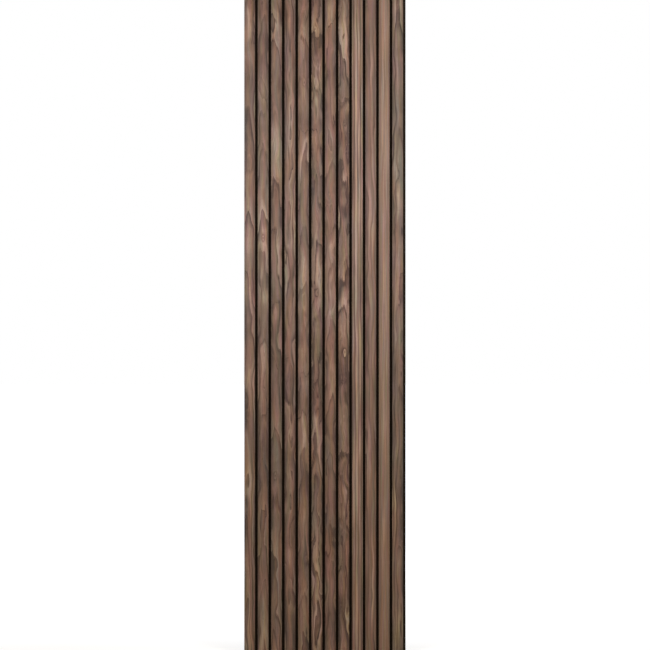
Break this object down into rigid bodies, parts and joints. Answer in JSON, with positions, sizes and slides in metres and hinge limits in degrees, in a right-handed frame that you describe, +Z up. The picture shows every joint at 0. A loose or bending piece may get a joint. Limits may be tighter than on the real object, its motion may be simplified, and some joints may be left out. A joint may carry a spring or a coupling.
{
  "type": "acoustic panel",
  "caption": "Tall slatted acoustic wall panel: parallel walnut-veneered slats with eased edges, fixed to a black felt board that shows in the grooves between them.",
  "frame": {"origin": "centre of the felt board's back face, which lies on the wall", "axes": "+X across the slats, towards the edge with the bare strip of felt; +Y into the wall, so the slats face -Y; +Z up along the slats"},
  "size_m": [0.6, 0.021, 2.44],
  "materials": {
    "walnut": "satin",
    "felt": "matte",
    "staple_wire": "satin"
  },
  "bodies": {
    "root": {"felt_backing": "felt", "slat_01": "walnut", "slat_02": "walnut", "slat_03": "walnut", "slat_04": "walnut", "slat_05": "walnut", "slat_06": "walnut", "slat_07": "walnut", "slat_08": "walnut", "slat_09": "walnut", "slat_10": "walnut", "slat_11": "walnut", "slat_12": "walnut", "staples": "staple_wire"}
  },
  "joints": []
}
